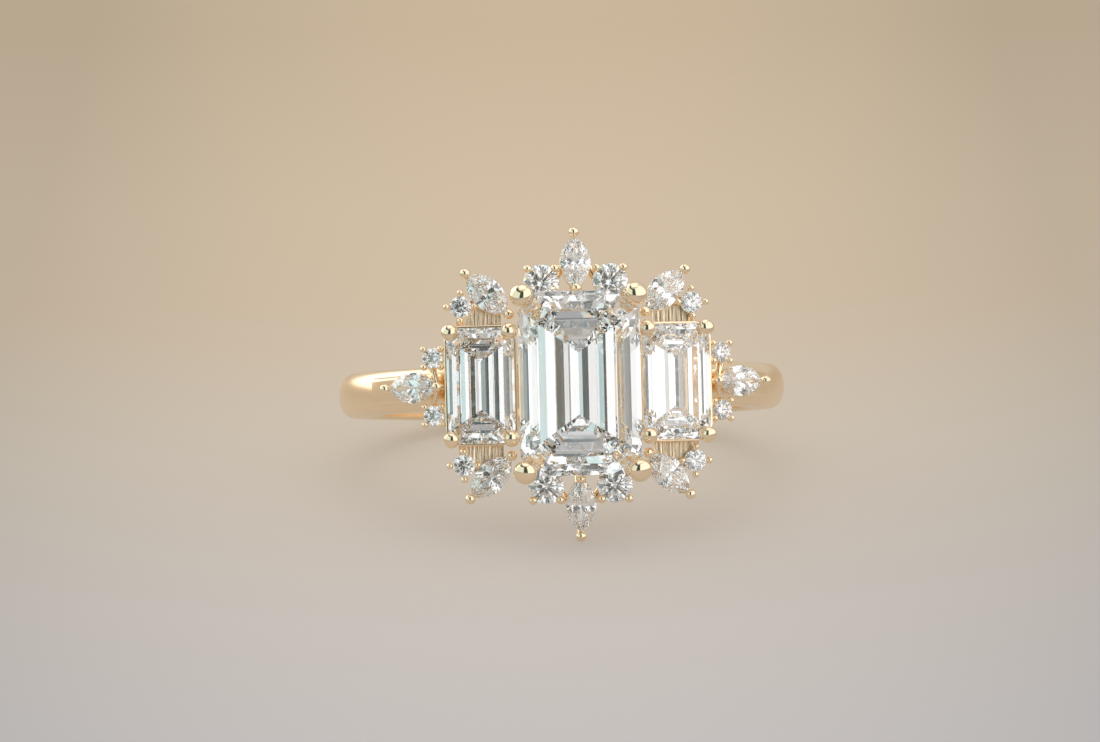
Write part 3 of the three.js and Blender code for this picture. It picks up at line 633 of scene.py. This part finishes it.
class RING_OT_shank(bpy.types.Operator):
    """Makes the hoop and the two shoulder arms"""
    bl_idname = "ring.shank"
    bl_label = "Shank and shoulders"

    def execute(self, context):
        metal, _, _ = sizes(context)
        wall, width, dome = (value / MM for value in (metal.shank_wall, metal.shank_width, metal.shank_dome))
        inner = hole_radius()
        profile = self.profile(wall, width / 2, dome)
        points, faces = band(circle_outline(inner, 360), profile)
        seat = seat_height()
        # The hoop is drawn round Z, then turned so that Z is the finger's axis.
        points = [(x, z, min(y, seat)) for x, y, z in points]
        shank = Metalwork()
        shank.shell(RING, (points, faces))
        build_piece("gold_shank", shank, ["shank"], finish="satin")
        for hand, sx in SIDES.items():
            arm = self.arm(sx, inner + wall, dome)
            build_piece("gold_shoulder_" + hand, arm, ["shoulder_" + hand], finish="satin")
        return {"FINISHED"}

    @staticmethod
    def profile(wall, half, dome, ease=0.12):
        """The hoop's section: a slightly eased inside, flat sides and a domed outside."""
        inside = [(ease, -half), (0, -half + ease), (0, half - ease), (ease, half)]
        edge = wall - dome
        crown = [
            (edge + dome * math.sin(math.pi * i / 24), half * math.cos(math.pi * i / 24)) for i in range(25)
        ]
        return inside + crown

    @staticmethod
    def arm(sx, outer, dome):
        """A bar that leaves the hoop and rises under the end cluster to the side basket."""
        stone = Stone("end_marquise_right", "marquise")
        inward = RING.inverted()
        width, height, corner, steps = 1.3, 0.6, 0.2, 32
        under = inward @ (stone.place @ Vector((0, 0, -0.8 * MM)))
        basket = inward @ Vector(node_points("side_lower_rail_right").mean(axis=0))
        low, high = outer - dome / 2, math.hypot(under.x, under.z) / MM - height / 2
        foot, end = math.radians(29), math.atan2(basket.z, basket.x + 0.8 * MM)
        path = []
        for i in range(steps + 1):
            t = i / steps
            angle = foot + (end - foot) * t
            radius = low + (high - low) * t * t * (3 - 2 * t)
            path.append(Vector((sx * radius * math.cos(angle), 0, radius * math.sin(angle))))
        arm = Metalwork()
        arm.shell(RING, sweep(path, rounded_section(width, height, corner), Vector((0, 1, 0))))
        return arm


# ---------------------------------------------------------------- baskets
# The emerald cuts' three pavilion steps: their slopes in degrees, and their shares of half the width.
STEP_ANGLES = (51, 43, 36)
STEP_SHARES = (0.255, 0.345, 0.4)
# Half of a girdle's thickness, as a share of the stone's width.
HALF_GIRDLE = 0.014
# Between a stone's facets and the rail round it.
RAIL_GAP = 0.09
# Where a claw's ball sits: out from its stone's cut corner, and up from its girdle.
CENTRE_BALL_AT = (0.39, 0.44)
SIDE_BALL_AT = (0.13, 0.27)


def pavilion_inset(width, depth):
    """How far a step-cut stone has drawn in, at a depth under its girdle."""
    left, inset = max(depth - HALF_GIRDLE * width, 0), 0
    for share, angle in zip(STEP_SHARES, STEP_ANGLES):
        step = share * width / 2
        part = min(left / (step * math.tan(math.radians(angle))), 1)
        inset += step * part
        left -= part * step * math.tan(math.radians(angle))
    return inset


def wire_profile(inner, thickness, low, high, ease=0.08):
    """The section of a rail, between two offsets and two heights, with eased edges."""
    outer, bend = inner + thickness, ease * 0.3
    return [
        (inner, low + ease), (inner + bend, low + bend), (inner + ease, low),
        (outer - ease, low), (outer - bend, low + bend), (outer, low + ease),
        (outer, high - ease), (outer - bend, high - bend), (outer - ease, high),
        (inner + ease, high), (inner + bend, high - bend), (inner, high - ease),
    ]


def rail_levels(stone, nodes):
    """The lowest and highest place of each rail under a stone, in the stone's own millimetres."""
    inward = stone.place.inverted()
    levels = []
    for node in nodes:
        heights = [(inward @ Vector(p)).z / MM for p in node_points(node)]
        levels.append((min(heights), max(heights)))
    return levels


class RING_OT_baskets(bpy.types.Operator):
    """Makes the centre basket, the two side baskets and their ball-ended claws"""
    bl_idname = "ring.baskets"
    bl_label = "Baskets and claws"

    def execute(self, context):
        metal, beads, _ = sizes(context)
        thickness = metal.rail / MM
        centre = Stone("centre_stone", "step")
        outline = cut_corner_outline(centre.x_size, centre.y_size, centre.corner)
        for name in ("centre_upper_rail", "centre_lower_rail"):
            (low, high), = rail_levels(centre, [name])
            rail = Metalwork()
            inner = RAIL_GAP - pavilion_inset(centre.x_size, -high)
            rail.shell(centre.place, band(outline, wire_profile(inner, thickness, low, high)))
            build_piece("gold_" + name, rail, [name])
        foot = inner + thickness, low
        for corner, (sx, sy) in CORNERS.items():
            node = "centre_claw_" + corner
            self.claw(node, centre, (sx, sy), beads.centre_ball / MM, foot, CENTRE_BALL_AT, ["centre_stone"])
        for hand in SIDES:
            self.side_basket(hand, thickness, beads.side_ball / MM)
        return {"FINISHED"}

    @staticmethod
    def claw(node, stone, signs, ball, foot, over, clear):
        """A claw from a rail, at an offset and height, to a ball out from and over a cut corner."""
        offset, low = foot
        reach, lift = over
        step = reach / math.sqrt(2)
        head, base = [], []
        for sign, size in zip(signs, (stone.x_size, stone.y_size)):
            head.append(sign * ((size - stone.corner) / 2 + step))
            base.append(sign * (size / 2 + offset - stone.corner / 4))
        head = Vector((*head, lift + HALF_GIRDLE * stone.x_size))
        base = Vector((*base, low))
        metal = Metalwork()
        metal.bead(stone.place, head, base, ball)
        post = (head - base).length / (ball / 2)
        build_piece("gold_" + node, metal, [node], post=post, neck=0.67, rise=0.8, around=48, clear=clear)

    def side_basket(self, hand, thickness, ball):
        """One side stone's two rails and four claws."""
        stone = Stone("side_stone_" + hand, "step")
        outline = cut_corner_outline(stone.x_size, stone.y_size, stone.corner, fillet=0.2)
        names = ["side_upper_rail_" + hand, "side_lower_rail_" + hand]
        (low, high), (foot_low, foot_high) = rail_levels(stone, names)
        upper, lower = Metalwork(), Metalwork()
        rim = 0.11
        upper.shell(stone.place, band(outline, wire_profile(rim - thickness, thickness, low, high, 0.05)))
        inner = RAIL_GAP - pavilion_inset(stone.x_size, -foot_high)
        lower.shell(stone.place, band(outline, wire_profile(inner, thickness, foot_low, foot_high)))
        clear = ["side_stone_" + hand, "centre_stone"]
        build_piece("gold_" + names[0], upper, names[:1], clear=clear)
        build_piece("gold_" + names[1], lower, names[1:])
        foot = inner + thickness, foot_low
        for where, turn in (("outer", SIDES[hand]), ("inner", -SIDES[hand])):
            for end, sy in ENDS.items():
                node = "side_claw_" + hand + "_" + where + "_" + end
                self.claw(node, stone, (turn, sy), ball, foot, SIDE_BALL_AT, clear)


# ---------------------------------------------------------------- clusters
# A collet's wall, as offsets from its stone's girdle and heights over it: tapered, with a bright rim.
COLLET = [
    (-0.15, -0.86), (-0.13, -0.84), (-0.012, -0.16), (-0.002, -0.135), (-0.01, -0.115), (-0.03, -0.105),
    (-0.055, -0.118), (-0.2, -0.25), (-0.32, -0.84), (-0.3, -0.86),
]
# Where a bead's post starts: in from the bead, and down from the girdle.
BEAD_INWARD = 0.25
BEAD_FOOT = -0.67
# Over the girdles, where the beads round a stone and at a marquise's points sit.
BEAD_LIFT = 0.08
TIP_LIFT = 0.06
# Under the girdles, where the bars meet the collets of the larger and the smaller rounds.
LARGE_BAR_DROP = 0.56
SMALL_BAR_DROP = 0.45
# From a stone's edge in to the middle of its collet's wall, at the larger rounds' bars and at the smaller.
LARGE_WALL_IN = 0.19
SMALL_WALL_IN = 0.095


def round_collet(metal, stone):
    """The tapered tube under a round stone's girdle."""
    metal.shell(stone.place, band(circle_outline(stone.x_size / 2), COLLET))


def marquise_collet(metal, stone):
    """The tapered tube under a marquise's girdle."""
    metal.shell(stone.place, band(stone.outline, COLLET))


def round_beads(metal, stone, first, reach, diameter):
    """Four beads round a stone, the first at an angle from the stone's own X."""
    radius = stone.x_size / 2 + reach
    for i in range(4):
        turn = math.radians(first + 90 * i)
        along = Vector((math.cos(turn), math.sin(turn), 0))
        foot = along * (radius - BEAD_INWARD) + Vector((0, 0, BEAD_FOOT))
        metal.bead(stone.place, along * radius + Vector((0, 0, BEAD_LIFT)), foot, diameter)


def tip_beads(metal, stone, outer, inner, diameter):
    """A bead at each point of a marquise."""
    for x in (stone.x_size / 2 + outer, -stone.x_size / 2 - inner):
        foot = x - math.copysign(BEAD_INWARD, x)
        metal.bead(stone.place, (x, 0, TIP_LIFT), (foot, 0, BEAD_FOOT), diameter)


def in_ring(stone, x=0.0, y=0.0, z=0.0):
    """A point of a stone's frame, in the ring's millimetres."""
    return (RING.inverted() @ (stone.place @ (Vector((x, y, z)) * MM))) / MM


class RING_OT_clusters(bpy.types.Operator):
    """Makes the eight small settings round the head"""
    bl_idname = "ring.clusters"
    bl_label = "Small settings"

    def execute(self, context):
        _, beads, _ = sizes(context)
        tip, large, small = (value / MM for value in (beads.tip_bead, beads.large_bead, beads.small_bead))
        for end, sy in ENDS.items():
            build_piece("gold_" + end + "_setting", self.top(end, sy, tip, large), [end + "_setting"])
        for hand, sx in SIDES.items():
            build_piece("gold_end_setting_" + hand, self.end(hand, sx, tip, small), ["end_setting_" + hand])
        for corner, (sx, sy) in CORNERS.items():
            node = "corner_setting_" + corner
            build_piece("gold_" + node, self.corner(corner, sx, sy, tip, small), [node])
        return {"FINISHED"}

    @staticmethod
    def top(end, sy, tip, large):
        """A marquise between two rounds, tied to the centre basket by bars."""
        metal = Metalwork()
        marquise = Stone(end + "_marquise", "marquise")
        marquise_collet(metal, marquise)
        tip_beads(metal, marquise, 0.18, 0.02, tip)
        centre = Stone("centre_stone", "step")
        half_rail = 0.17
        rails = []
        for low, high in rail_levels(centre, ["centre_upper_rail", "centre_lower_rail"]):
            out = centre.y_size / 2 + RAIL_GAP + half_rail - pavilion_inset(centre.x_size, -high)
            rails.append((sy * out, in_ring(centre, z=(low + high) / 2).z))
        first = in_ring(marquise)
        for hand, sx in SIDES.items():
            stone = Stone(end + "_round_" + hand, "round")
            round_collet(metal, stone)
            round_beads(metal, stone, 45, 0.06, large)
            middle, edge = in_ring(stone), stone.x_size / 2 - LARGE_WALL_IN
            level = middle.z - LARGE_BAR_DROP
            near = middle.x - sx * edge / 2, rails[0][0], rails[0][1]
            metal.bar(RING, near, (middle.x - sx * edge / 3, middle.y - sy * edge, rails[0][1]), 0.17)
            inner = sx * (marquise.y_size - LARGE_WALL_IN) / 2, first.y - sy * 0.2, level
            metal.bar(RING, inner, (middle.x - sx * edge, middle.y + sy * 0.2, level), 0.2)
        stay = in_ring(marquise, x=-marquise.x_size * 0.3, z=-0.75)
        metal.bar(RING, (0, rails[1][0], rails[1][1]), stay, 0.24)
        return metal

    @staticmethod
    def end(hand, sx, tip, small):
        """A marquise between two small rounds, with struts to the side basket."""
        metal = Metalwork()
        marquise = Stone("end_marquise_" + hand, "marquise")
        marquise_collet(metal, marquise)
        tip_beads(metal, marquise, 0.2, 0.08, tip)
        basket = Stone("side_stone_" + hand, "step")
        seat = in_ring(basket)
        inner = in_ring(marquise, x=-marquise.x_size * 0.4, z=-SMALL_BAR_DROP)
        for level, sy in (("upper", 1), ("lower", -1)):
            stone = Stone("end_round_" + hand + "_" + level, "round")
            round_collet(metal, stone)
            round_beads(metal, stone, 45, 0.09, small)
            middle, wall = in_ring(stone), stone.x_size / 2 - SMALL_WALL_IN
            level = middle.z - SMALL_BAR_DROP
            metal.bar(RING, inner, (middle.x, middle.y - sy * wall, level), 0.17)
            side = seat.x + sx * basket.x_size / 2, middle.y - sy * wall * 0.7, seat.z - SMALL_BAR_DROP
            metal.bar(RING, (middle.x - sx * wall * 0.8, middle.y - sy * wall / 2, level), side, 0.15)
        return metal

    @staticmethod
    def corner(corner, sx, sy, tip, small):
        """A marquise that points out and a round, on a brushed plate against the side basket."""
        metal = Metalwork()
        marquise = Stone("corner_marquise_" + corner, "marquise")
        stone = Stone("corner_round_" + corner, "round")
        marquise_collet(metal, marquise)
        tip_beads(metal, marquise, 0.11, 0.12, tip)
        round_collet(metal, stone)
        turn = RING.inverted() @ stone.place
        round_beads(metal, stone, -math.degrees(math.atan2(turn.col[0].y, turn.col[0].x)), 0.14, small)
        basket = Stone("side_stone_" + corner.split("_")[1], "step")
        tuck, margin, drop, thickness = 0.09, 0.1, 0.42, 0.3
        middle, edge, reach = in_ring(basket), basket.y_size / 2 - tuck, basket.x_size / 3
        first, second, quarter = in_ring(marquise), in_ring(stone), marquise.x_size / 4
        level = second.z - drop
        outline = [
            (middle.x - sx * reach, sy * edge), (middle.x + sx * reach, sy * edge),
            (second.x + sx * margin, second.y), (first.x + sx * margin, first.y),
            (first.x - sx * quarter, first.y - sy * quarter),
        ]
        plate = skin([[(x, y, level + z) for x, y in outline] for z in (-thickness, 0)])
        metal.shell(RING, plate, brushed=1.0)
        return metal


# ---------------------------------------------------------------- studio
# The point that the camera looks at, in millimetres.
AIM = (-1.3, -9.0, 7.65)


def area_light(name, place, target, size, energy, colour):
    """A rectangular lamp at a place, facing a target, all in metres."""
    data = bpy.data.lights.new(name, "AREA")
    data.shape = "RECTANGLE"
    data.size, data.size_y = size
    data.energy = energy
    data.color = colour
    lamp = bpy.data.objects.new(name, data)
    lamp.location = place
    lamp.rotation_euler = (Vector(target) - Vector(place)).to_track_quat("-Z", "Y").to_euler()
    bpy.context.scene.collection.objects.link(lamp)


# What the room shows: each patch's span to the right of the head's front, its span of rise and the softness
# of its edge, all in degrees, then its colour. They are the dark wall round the left window, that window,
# the right window, and a third window behind to the left.
WINDOWS = (
    ((-118, 8), (-14, 60), 2.0, (0.08, 0.10, 0.10)),
    ((-103, -31), (-12, 47), 1.5, (1.02, 1.22, 1.15)),
    ((8, 112), (-12, 62), 6.0, (1.7, 1.64, 1.56)),
    ((-152, -106), (-8, 45), 5.0, (2.7, 2.5, 2.2)),
)
# What dull things are lit by, and how the room's colours shift where it is seen through the stones.
EVEN_LIGHT = (1.12, 1.12, 1.12)
STONE_LIGHT = (1.02, 1.03, 1.07)


def between(value, low, high, soft):
    """One inside a span of a value and nothing outside it, with soft edges."""
    rise = value.add("ShaderNodeMapRange", {"interpolation_type": "SMOOTHSTEP"}, {
        "Value": value, "From Min": low - soft, "From Max": low + soft})
    fall = value.add("ShaderNodeMapRange", {"interpolation_type": "SMOOTHSTEP"}, {
        "Value": value, "From Min": high + soft, "From Max": high - soft})
    return rise * fall


class RING_OT_studio(bpy.types.Operator):
    """Makes the surface, the lamps, the world and the camera"""
    bl_idname = "ring.studio"
    bl_label = "Studio"

    def execute(self, context):
        _, _, studio = sizes(context)
        head = RING @ (Vector((0, 0, 12.0)) * MM)
        self.floor(tuple(studio.fabric))
        area_light("overhead", place=(0.0, 0.1, 0.6), target=head, size=(0.5, 0.5), energy=0.5,
                   colour=(1.0, 0.98, 0.95))
        self.world()
        self.camera(studio)
        # Light turns many times inside a cut stone before it leaves.
        context.scene.cycles.max_bounces = 32
        context.scene.cycles.transmission_bounces = 28
        context.scene.cycles.glossy_bounces = 24
        context.scene.view_settings.view_transform = "Standard"
        return {"FINISHED"}

    @staticmethod
    def floor(colour):
        mesh = bpy.data.meshes.new("surface")
        reach, back = 0.7, 1.2
        mesh.from_pydata([(-reach, -reach, 0), (reach, -reach, 0), (reach, back, 0), (-reach, back, 0)], [],
                         [(0, 1, 2, 3)])
        mesh.materials.append(material("pale_fabric", lambda tree: fabric_surface(tree, colour)))
        surface = bpy.data.objects.new("surface", mesh)
        bpy.context.scene.collection.objects.link(surface)

    @staticmethod
    def world():
        """A pale room: a cream window to the right and a mint one in a dark frame to the left."""
        world = bpy.data.worlds.new("studio")
        world.use_nodes = True
        tree = world.node_tree
        tree.nodes.clear()
        way = new_node(tree, "ShaderNodeTexCoord", output="Generated")
        x = way.add("ShaderNodeSeparateXYZ", sockets={0: way})
        turn = x.math("ARCTAN2", -x.out("Y")) * (180 / math.pi)
        rise = x.out("Z").math("ARCSINE") * (180 / math.pi)
        room = ramp(rise * (1 / 180) + 0.5, [
            (0.40, (0.62, 0.54, 0.45)), (0.50, (0.78, 0.70, 0.60)), (0.66, (0.80, 0.77, 0.72)),
            (1.0, (0.86, 0.84, 0.80)),
        ])
        for (left, right), (low, high), soft, colour in WINDOWS:
            inside = between(turn, left, right, soft) * between(rise, low, high, soft)
            room = way.add("ShaderNodeMix", {"data_type": "RGBA"}, {
                "Factor": inside, 6: room, 7: (*colour, 1)}, output=2)
        path = way.add("ShaderNodeLightPath", output="Is Diffuse Ray")
        cool = way.add("ShaderNodeMix", {"data_type": "RGBA", "blend_type": "MULTIPLY"}, {
            "Factor": path.out("Is Transmission Ray"), 6: room, 7: (*STONE_LIGHT, 1)}, output=2)
        seen = way.add("ShaderNodeMix", {"data_type": "RGBA"}, {
            "Factor": path, 6: cool, 7: (*EVEN_LIGHT, 1)}, output=2)
        light = way.add("ShaderNodeBackground", sockets={"Color": seen, "Strength": 0.8})
        new_node(tree, "ShaderNodeOutputWorld", sockets={"Surface": light})
        bpy.context.scene.world = world

    @staticmethod
    def camera(studio):
        data = bpy.data.cameras.new("camera")
        data.lens = studio.lens
        data.clip_start, data.clip_end = 0.01, 10.0
        az, el = studio.azimuth, studio.elevation
        forward = Vector((math.sin(az) * math.cos(el), math.cos(az) * math.cos(el), -math.sin(el)))
        aim = Vector(AIM) * MM
        camera = bpy.data.objects.new("camera", data)
        camera.location = aim - forward * studio.distance
        facing = forward.to_track_quat("-Z", "Y") @ Quaternion((0, 0, 1), studio.roll)
        camera.rotation_euler = facing.to_euler()
        bpy.context.scene.collection.objects.link(camera)
        bpy.context.scene.camera = camera


class RING_PT_panel(bpy.types.Panel):
    bl_label = "Engagement ring"
    bl_idname = "RING_PT_panel"
    bl_space_type = "VIEW_3D"
    bl_region_type = "UI"
    bl_category = "Ring"

    def draw(self, context):
        for operator in OPERATORS:
            self.layout.operator(operator.bl_idname)
        for group in sizes(context):
            for name in group.__annotations__:
                self.layout.prop(group, name)


GROUPS = {"ring_metal": RING_PG_metal, "ring_beads": RING_PG_beads, "ring_studio": RING_PG_studio}
OPERATORS = (RING_OT_finishes, RING_OT_shank, RING_OT_baskets, RING_OT_clusters, RING_OT_studio)
CLASSES = (*GROUPS.values(), *OPERATORS, RING_PT_panel)


def register():
    for cls in CLASSES:
        bpy.utils.register_class(cls)
    for name, group in GROUPS.items():
        setattr(bpy.types.Scene, name, bpy.props.PointerProperty(type=group))


def unregister():
    for name in GROUPS:
        delattr(bpy.types.Scene, name)
    for cls in reversed(CLASSES):
        bpy.utils.unregister_class(cls)


def plain(box):
    """A pair of corners as lists of numbers."""
    return [[float(value) for value in corner] for corner in box]


def main():
    """Builds the whole ring and its studio."""
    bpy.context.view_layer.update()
    register()
    bpy.ops.ring.finishes()
    bpy.ops.ring.shank()
    bpy.ops.ring.baskets()
    bpy.ops.ring.clusters()
    bpy.ops.ring.studio()


if __name__ == "__main__":
    main()
